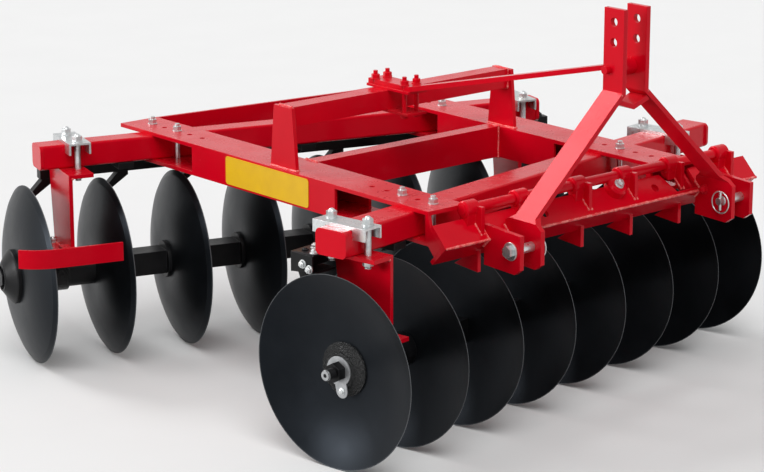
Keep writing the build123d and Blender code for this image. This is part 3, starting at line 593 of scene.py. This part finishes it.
def weld_growth():
    """A run of overlapping ripples, as a weld leaves."""
    g = Growth("weld", WELD)
    points, turn = g.along(g.size("Step"))
    sockets = {"Radius": g.size("Bead"), "Subdivisions": 2}
    drop = g.node("GeometryNodeMeshIcoSphere", {}, sockets)
    drop = g.node("GeometryNodeSetShadeSmooth", {}, {"Geometry": drop})
    width = g.varied(0.8, 1.15, 7)
    g.close(points, drop, turn, g.vector(width, width, 0.85))
    return g


def thread_growth():
    """Thread ridges along a rod."""
    g = Growth("thread", STUD_THREAD)
    points, turn = g.along(g.size("Pitch"))
    ridge = g.prism(20, g.size("Radius"), g.size("Pitch") * 0.5, bevel=0.94)
    g.close(points, ridge, turn, g.vector(1.0, 1.0, 1.0))
    return g


bolts, welds, threads = bolt_growth(), weld_growth(), thread_growth()


# ---- weld runs ---------------------------------------------------------------------------
# A run stands this far off its plate, and stops this far short of the ends.
RUN_OFF = 0.001
RUN_SHORT = 0.004
# Faces of the gusset plate in each of the slide bar's lugs, along x from the lug's end.
GUSSET_FACES = (0.004, 0.016)
# How far up the headstock's slope, of the whole, a gusset's run goes.
GUSSET_SHARE = 0.8
# Half of the run across a mast leg, just short of its edges.
BEND_RUN = 0.037
# How far inside a hanger's back and front the runs in its corners stop.
CORNER_STOPS = (0.036, 0.002)


def flat_ring(low, high, z):
    """Closed run round a box's outline at one height."""
    x0, x1, y0, y1 = low.x, high.x, low.y, high.y
    return [(x0, y0, z), (x1, y0, z), (x1, y1, z), (x0, y1, z), (x0, y0, z)]


def end_ring(low, high, x):
    """Closed run round a box's end at one x."""
    y0, y1, z0, z1 = low.y, high.y, low.z, high.z
    return [(x, y0, z0), (x, y1, z0), (x, y1, z1), (x, y0, z1), (x, y0, z0)]


def apex_run():
    """Along the headstock's front corner, from end to end."""
    low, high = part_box("headstock_angle")
    y, z = high.y + RUN_OFF, high.z - CORNER_DROP
    return [(low.x + RUN_SHORT, y, z), (high.x - RUN_SHORT, y, z)]


def frame_runs():
    """Round the posts' feet and the ends of the upper beam and the middle channel."""
    runs = []
    for post in ("right_post", "left_post"):
        low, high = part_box(post)
        runs.append(flat_ring(low, high, low.z))
    for tube in ("upper_beam", "mid_cross_channel"):
        low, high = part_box(tube)
        runs += [end_ring(low, high, low.x), end_ring(low, high, high.x)]
    return runs


def hitch_plates():
    """Both sides of each hitch plate. The inner plates are the feet of the mast legs."""
    plates = [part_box("right_clevis_plate"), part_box("left_clevis_plate")]
    for pin, side in (("right_lower_hitch", -1), ("left_lower_hitch", 1)):
        face = Vector((MOUNTS[pin].x + side * CLEVIS_IN, plates[0][0].y, 0.0))
        plates.append((face, face + Vector((side * CLEVIS_T, 0.0, 0.0))))
    return plates


def headstock_runs():
    """Where the hitch plates and the slide bar's lugs meet the headstock's slopes."""
    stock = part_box("headstock_angle")[1]
    apex, level = stock.y, stock.z - CORNER_DROP
    runs = []
    for low, high in hitch_plates():
        back = low.y - RUN_OFF
        rise = apex - back
        for x in (low.x, high.x):
            runs.append([(x, back, level + rise), (x, apex, level), (x, back, level - rise)])
    up_slope = CORNER_DROP * GUSSET_SHARE
    for low, high in solids("slide_bar_lugs"):
        start = (high.y, level + apex - high.y)
        stop = (apex - up_slope, level + up_slope)
        for face in GUSSET_FACES:
            runs.append([(low.x + face, *start), (low.x + face, *stop)])
    return runs


def mast_runs():
    """Across the outside of each mast leg at its upper bend."""
    link = MOUNTS["top_link_upper"]
    outside = MAST_IN + MAST_T
    return [
        [(link.x + x, link.y + y, BEND_Z) for y in (-BEND_RUN, BEND_RUN)]
        for x in (outside, -outside)
    ]


def hanger_runs(gang, side):
    """Both corners between each hanger's web and its flanges, on the side that they point to."""
    space = gang_space(gang + "_gang")
    start, stop = CORNER_STOPS
    half = side * PLATE_T / 2
    runs = []
    for low, high in solids(gang + "_hangers", space):
        web = high.x - FLANGE if side > 0 else low.x + FLANGE
        for x, z in ((web + half, high.z - PLATE_T), (web - half, low.z + PLATE_T)):
            ends = (low.y + start, high.y - stop)
            runs.append([space @ Vector((x, y, z)) for y in ends])
    return runs


beads = frame_runs() + headstock_runs() + mast_runs()
beads += hanger_runs("front", 1) + hanger_runs("rear", -1)
welds.grow("apex_weld", [apex_run()], APEX_WELD, "frame", "red_paint", finish=WELD_PAINT)
welds.grow("weld_beads", beads, WELD, "frame", "red_paint", finish=WELD_PAINT)


# ---- bolts, nuts and threads -------------------------------------------------------------
# From a bearing's middle to the bolts of its foot.
FOOT_BOLT_X = 0.021
FOOT_BOLT_Y = 0.053
# From a scraper arm's side to its bolt.
ARM_BOLT_X = 0.016
# What is narrower than this in a clamp is a stud, and the rest are plates.
STUD_WIDEST = 0.040
# Threaded stretches of a stud, up from its lower end.
STUD_THREADS = ((0.028, 0.110), (0.001, 0.010))
# The slide clamp's boss: its place from the mast's middle, up the slope, and let into it.
BOSS_X = -0.060
BOSS_UP = 0.046
BOSS_SINK = 0.002
BOSS_R = 0.034
BOSS_T = 0.030
# The bolt in the left mast leg's foot, behind the hitch pin and above it.
FOOT_BACK = 0.073
FOOT_UP = 0.022
# From the stay's clamp plates up to its nuts.
STAY_NUT_UP = 0.015


def set_bolts(name, spots, sizes, body, slot_name, space=MACHINE):
    """One bolt at each (place, direction) of a space."""
    places = [[space @ Vector(place)] for place, facing in spots]
    facings = [space.to_3x3() @ Vector(facing) for place, facing in spots]
    bolts.grow(name, places, sizes, body, slot_name, facings)


def bearing_bolts(gang, space):
    """Four bolts through each bearing's foot, nut above the hanger's flange and head below."""
    spots = []
    for low, high in solids(gang + "_bearings", space):
        middle = (low.x + high.x) / 2
        for x in (middle - FOOT_BOLT_X, middle + FOOT_BOLT_X):
            for y in (-FOOT_BOLT_Y, FOOT_BOLT_Y):
                spots.append(((x, y, high.z + PLATE_T), UP))
                spots.append(((x, y, high.z - BEARING_FOOT), -UP))
    return spots


def scraper_bolts(gang, space):
    """One bolt down through the scraper bar into each arm."""
    bar = solids(gang + "_scraper_bar", space)[0][0]
    arms = solids(gang + "_scrapers", space)
    y, z = bar.y + BAR_DEPTH / 2, arms[0][1].z + BAR_HEIGHT
    return [((low.x + ARM_BOLT_X, y, z), UP) for low, high in arms]


def stud_threads(gang, space):
    """The threaded stretches of the clamps' studs, in the machine's place."""
    runs = []
    for low, high in solids(gang + "_clamps", space):
        if high.x - low.x < STUD_WIDEST:
            x, y = (low.x + high.x) / 2, (low.y + high.y) / 2
            for stretch in STUD_THREADS:
                runs.append([space @ Vector((x, y, low.z + rise)) for rise in stretch])
    return runs


def fasten_gang(gang):
    """Bolts of one gang's bearings and scrapers, and the threads of its clamps' studs."""
    space = gang_space(gang + "_gang")
    spots = bearing_bolts(gang, space)
    set_bolts(gang + "_bearing_bolts", spots, M16, "frame", "zinc_plate", space)
    spots = scraper_bolts(gang, space)
    set_bolts(gang + "_scraper_bolts", spots, M12, "frame", "black_paint", space)
    runs = stud_threads(gang, space)
    threads.grow(gang + "_stud_threads", runs, STUD_THREAD, "frame", "zinc_plate")


def boss_place():
    """Middle of the slide clamp's boss, low on the headstock's upper slope."""
    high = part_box("headstock_angle")[1]
    x = MOUNTS["top_link_upper"].x + BOSS_X
    on_slope = Vector((x, high.y - BOSS_UP, high.z - CORNER_DROP + BOSS_UP))
    return on_slope - SLOPE * BOSS_SINK


def stay_nuts():
    """Spots on the stay bar where the clamp's four nuts sit."""
    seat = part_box("stay_clamp_plates")[1].z + STAY_NUT_UP
    middles = [(low + high) / 2 for low, high in solids("stay_clamp_bolts")]
    return [((middle.x, middle.y, seat), UP) for middle in middles]


def fasten_hitch():
    """Bolts of the slide clamp and the mast's foot, and the stay's nuts."""
    clamp = [(boss_place() + SLOPE * BOSS_T, SLOPE)]
    set_bolts("slide_clamp_bolt", clamp, M16, "frame", "zinc_plate")
    foot = MOUNTS["left_lower_hitch"] + Vector((CLEVIS_IN + CLEVIS_T, -FOOT_BACK, FOOT_UP))
    set_bolts("mast_foot_bolt", [(foot, (1, 0, 0))], M16, "frame", "red_paint")
    set_bolts("stay_clamp_nuts", stay_nuts(), NUT14, "frame", "red_paint")


fasten_gang("front")
fasten_gang("rear")
fasten_hitch()


# ---- turned and folded pieces ------------------------------------------------------------
# A linch pin's spring ring: radius, the wire's radius and sides, and how far it hangs.
RING_R = 0.033
RING_WIRE = 0.0021
RING_SIDES = 10
RING_HANG = 0.003
# Washer on each hitch pin, against the outer plate, as (out along the pin, radius).
PIN_WASHER = ((0.0, 0.010), (0.0, 0.0265), (0.0035, 0.0265), (0.0045, 0.0255), (0.0045, 0.010))
# Boss of the slide clamp: its bore, and its edge as (down from the top, inward).
BOSS_BORE = 0.004
BOSS_EDGE = ((0.006, 0.002), (0.0, 0.009))
# Bracket over the scraper bar's end: wall, length and gap past the end, how far it stands out
# behind the bar's back, ahead of it and below the bar, and how its cover's front is cut.
BRACKET_WALL = 0.006
BRACKET_L = 0.090
BRACKET_GAP = 0.001
BRACKET_BEHIND = 0.009
BRACKET_AHEAD = 0.070
BRACKET_BELOW = 0.012
COVER_CUTS = (0.010, 0.004)
# Its nuts: on top, as (in from its end, ahead of the bar's back), and on its end, as (ahead of
# the bar's back, up from the bar's underside).
TOP_NUTS = ((0.068, 0.020), (0.022, 0.058))
END_NUTS = ((0.036, 0.016), (0.060, 0.004))


def round_pairs(items):
    """Each item with the next, and the last with the first."""
    return list(zip(items, items[1:] + items[:1]))


def skin(form, ring, following):
    """Faces between two like rings of points."""
    for (a, b), (c, d) in zip(round_pairs(ring), round_pairs(following)):
        form.faces.new((a, b, d, c))


def turned(form, profile, sides, centre=(0.0, 0.0, 0.0)):
    """Turns a closed (x, radius) profile about the line along x through a centre."""
    cx, cy, cz = centre
    rings = []
    for i in range(sides):
        angle = 2 * math.pi * i / sides
        y, z = math.cos(angle), math.sin(angle)
        rings.append([form.verts.new((cx + x, cy + r * y, cz + r * z)) for x, r in profile])
    for ring, following in round_pairs(rings):
        skin(form, ring, following)


def folded(form, outline, x0, x1):
    """Pushes a (y, z) outline from x0 to x1."""
    near, far = [[form.verts.new((x, y, z)) for y, z in outline] for x in (x0, x1)]
    form.faces.new(near)
    form.faces.new(far)
    skin(form, near, far)


def wire_loop():
    """Section of the spring ring's wire, as (x, radius)."""
    angles = [2 * math.pi * i / RING_SIDES for i in range(RING_SIDES)]
    return [(RING_WIRE * math.cos(a), RING_R + RING_WIRE * math.sin(a)) for a in angles]


def linch_rings():
    """The spring ring of each linch pin, and a flat washer on each hitch pin."""
    form = bmesh.new()
    for low, high in solids("linch_pins"):
        turned(form, wire_loop(), 56, centre=(low + high) / 2 - UP * RING_HANG)
    for hand, side in (("right", 1), ("left", -1)):
        low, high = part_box(hand + "_hitch_pin")
        middle = (low + high) / 2
        plate = MOUNTS[hand + "_lower_hitch"].x + side * (CLEVIS_IN + CLEVIS_T)
        washer = [(side * x, r) for x, r in PIN_WASHER]
        turned(form, washer, 40, centre=(plate, middle.y, middle.z))
    formed("linch_rings", form, MACHINE, "frame", "zinc_plate")


def slide_clamp_boss():
    """Round boss that clamps the slide bar, on the headstock's slope."""
    form = bmesh.new()
    edge = [(BOSS_T - down, BOSS_R - inward) for down, inward in BOSS_EDGE]
    turned(form, [(0.0, BOSS_BORE), (0.0, BOSS_R), *edge, (BOSS_T, BOSS_BORE)], 48)
    turn = UP.rotation_difference(SLOPE).to_matrix().to_4x4()
    turn = turn @ Matrix.Rotation(-math.pi / 2, 4, "Y")
    space = Matrix.Translation(boss_place()) @ turn
    formed("slide_clamp_boss", form, space, "frame", "red_paint")


def bar_bracket():
    """Channel bracket over the near end of the front scraper bar, with its nuts."""
    space = gang_space("front_gang")
    low, high = solids("front_scraper_bar", space)[0]
    wall = BRACKET_WALL
    y0, y1 = low.y - BRACKET_BEHIND, low.y + BRACKET_AHEAD
    z0, z1 = low.z - BRACKET_BELOW, low.z + BAR_HEIGHT + wall
    lower = [(y0, z0), (y1, z0), (y1, z0 + wall), (y0 + wall, z0 + wall)]
    upper = [(y0 + wall, z1 - wall), (y1, z1 - wall), (y1, z1), (y0, z1)]
    cut_below, cut_above = COVER_CUTS
    cover = [(y0, z0), (y1, z0 + cut_below), (y1, z1 - cut_above), (y0, z1)]
    seam = high.x + BRACKET_GAP
    end = seam + wall
    form = bmesh.new()
    folded(form, lower + upper, high.x - BRACKET_L, seam)
    folded(form, cover, seam, end)
    formed("scraper_bar_bracket", form, space, "frame", "black_paint")
    spots = [((end - inward, low.y + ahead, z1), UP) for inward, ahead in TOP_NUTS]
    spots += [((end, low.y + ahead, low.z + up), (1, 0, 0)) for ahead, up in END_NUTS]
    set_bolts("scraper_bracket_nuts", spots, M12, "frame", "zinc_plate", space)


linch_rings()
slide_clamp_boss()
bar_bracket()


# ---- axle ends ---------------------------------------------------------------------------
# The rear gang's cast cone, as (out from its inner face, radius), with a recess in its end
# that is CAP_SEAT out.
CAP_SEAT = 0.034
CAP = [(0.0, 0.015), (0.0, 0.085), (0.011, 0.085), (0.014, 0.082), (0.039, 0.045)]
CAP += [(0.042, 0.042), (0.042, 0.037), (CAP_SEAT, 0.036), (CAP_SEAT, 0.015)]
# In the recess: the head's thickness against the nut's in the solids, and the shaft's reach.
HEAD_SHARE = 0.5
HEAD_OUT = 0.0125
# Lock tabs' width against that in the solids, and the tail's bolt (y, z) before it is widened.
TAB_WIDER = 1.18
TAB_BOLT = (0.010, -0.048)
# Bare end of a threaded shaft, as (out from its tip, radius), and how far short its thread is.
SHAFT_TIP = ((-0.006, 0.0158), (-0.002, 0.0158), (0.0002, 0.0135), (0.0002, 0.006), (-0.006, 0.006))
THREAD_SHORT = 0.004


def rear_cap():
    """Smooth cast cone on the bulged end of the rear gang, with the shaft's head let into it."""
    space = gang_space("rear_gang")
    black = ("rear_gang", "black_paint")
    face = solids("rear_end_washers", space)[1][0].x
    seat = face + CAP_SEAT
    form = reshaped("rear_end_washers", space)
    bulged = [vert for vert in form.verts if vert.co.x > 0]
    bmesh.ops.delete(form, geom=bulged, context="VERTS")
    turned(form, [(face + out, r) for out, r in CAP], 72)
    formed("rear_end_castings", form, space, *black, ["rear_end_washers"])

    form = reshaped("rear_end_nuts", space)
    nut = solids("rear_end_nuts", space)[1][0].x
    for vert in form.verts:
        if vert.co.x > 0:
            vert.co.x = seat + (vert.co.x - nut) * HEAD_SHARE
    formed("rear_end_heads", form, space, *black, ["rear_end_nuts"])

    form = reshaped("rear_shaft", space)
    for vert in form.verts:
        vert.co.x = min(vert.co.x, seat + HEAD_OUT)
    bmesh.ops.dissolve_degenerate(form, edges=form.edges[:], dist=MERGE)
    formed("rear_through_shaft", form, space, *black, ["rear_shaft"])


def keyhole_tab(gang, ends):
    """The lock tabs at their full width, at both ends of a gang or at the one that is named."""
    node = gang + "_lock_tab"
    space = gang_space(gang + "_gang")
    form = reshaped(node, space)
    if len(ends) == 1:
        other = [vert for vert in form.verts if vert.co.x * ends[0] < 0]
        bmesh.ops.delete(form, geom=other, context="VERTS")
    bmesh.ops.scale(form, vec=(1.0, TAB_WIDER, TAB_WIDER), verts=form.verts[:])
    formed(gang + "_keyhole_tab", form, space, gang + "_gang", "grey_steel", [node])


def reach(node, space, out):
    """How far the solid at one end of an axle reaches along it, out being -1 or 1."""
    end, corner = (0, 0) if out < 0 else (-1, 1)
    return solids(node, space)[end][corner].x


def axle_end_fittings(gang, ends):
    """The shaft's bare tips, their thread ridges, and the bolt through each lock tab's tail."""
    body = gang + "_gang"
    space = gang_space(body)
    bolt_y, bolt_z = (TAB_WIDER * value for value in TAB_BOLT)
    runs, tails, tips = [], [], bmesh.new()
    for out in ends:
        tip = reach(gang + "_shaft", space, out)
        start = reach(gang + "_end_nuts", space, out)
        stretch = (start, tip - out * THREAD_SHORT)
        runs.append([space @ Vector((x, 0.0, 0.0)) for x in stretch])
        tails.append(((reach(gang + "_lock_tab", space, out), bolt_y, bolt_z), (out, 0, 0)))
        turned(tips, [(tip + out * x, r) for x, r in SHAFT_TIP], 36)
    formed(gang + "_shaft_tips", tips, space, body, "grey_steel")
    threads.grow(gang + "_shaft_threads", runs, SHAFT_THREAD, body, "black_paint")
    set_bolts(gang + "_tab_bolts", tails, M10, body, "zinc_plate", space)


rear_cap()
for gang, ends in (("front", (-1, 1)), ("rear", (-1,))):
    keyhole_tab(gang, ends)
    axle_end_fittings(gang, ends)


# ---- camera, light and floor -------------------------------------------------------------
CAMERA_AT = Vector((5.1509, 5.9413, 2.525))
CAMERA_HEADING = math.radians(229.29)
CAMERA_DOWN = math.radians(15.20)
CAMERA_LENS = 122.4
CAMERA_SENSOR = 36.0
CAMERA_REACH = 200.0
FLOOR_SIZE = 60.0
# The world's strength as light on the object, and as what is seen of it.
WORLD_LIGHT = 0.5
WORLD_SEEN = 1.0
# Of each lamp: name, direction towards it, strength, and spread in degrees.
LAMPS = (
    ("key", (0.35, 0.5, 0.85), 1.45, 40.0),
    ("side", (0.82, -0.50, 0.20), 1.35, 22.0),
    ("back", (0.18, -0.73, 0.66), 0.9, 22.0),
)


def set_camera():
    """The camera, by its place, heading and tilt."""
    data = bpy.data.cameras.new("view")
    data.lens = CAMERA_LENS
    data.sensor_width = CAMERA_SENSOR
    data.clip_end = CAMERA_REACH
    camera = bpy.data.objects.new("view", data)
    bpy.context.collection.objects.link(camera)
    camera.location = CAMERA_AT
    camera.rotation_euler = (math.pi / 2 - CAMERA_DOWN, 0.0, CAMERA_HEADING - math.pi / 2)
    bpy.context.scene.camera = camera


def soft_sun(name, at, strength, spread):
    """Broad even light from a direction, its spread in degrees."""
    data = bpy.data.lights.new(name, "SUN")
    data.energy = strength
    data.angle = math.radians(spread)
    lamp = bpy.data.objects.new(name, data)
    bpy.context.collection.objects.link(lamp)
    lamp.rotation_euler = Vector(at).to_track_quat("Z", "Y").to_euler()


def set_world():
    """Pale to the eye and in reflections, and weaker as light."""
    world = bpy.data.worlds.new("studio")
    graph = Graph(world)
    sockets = {"Value": graph.shown(), "To Min": WORLD_LIGHT, "To Max": WORLD_SEEN}
    strength = graph.node("ShaderNodeMapRange", {}, sockets)
    background = graph.node("ShaderNodeBackground", {}, {"Strength": strength})
    graph.surface("ShaderNodeOutputWorld", background)
    bpy.context.scene.world = world


def set_floor():
    """Pale plain floor that keeps the shadow, and throws little light back up."""
    half = FLOOR_SIZE / 2
    mesh = bpy.data.meshes.new("floor")
    corners = [(-half, -half, 0.0), (half, -half, 0.0), (half, half, 0.0), (-half, half, 0.0)]
    mesh.from_pydata(corners, [], [(0, 1, 2, 3)])
    f = Finish("pale_floor")
    pale = f.blend(f.noise(3.0, 3.0), rgb(0.87, 0.87, 0.87), rgb(0.84, 0.84, 0.84))
    tone = f.blend(f.shown(), rgb(0.40, 0.40, 0.40), pale)
    paint = f.shade({"Base Color": tone, "Roughness": 0.85, "Specular IOR Level": 0.1})
    mesh.materials.append(paint)
    floor = bpy.data.objects.new("floor", mesh)
    bpy.context.collection.objects.link(floor)


set_camera()
set_world()
set_floor()
for lamp in LAMPS:
    soft_sun(*lamp)
bpy.context.scene.view_settings.view_transform = "Standard"
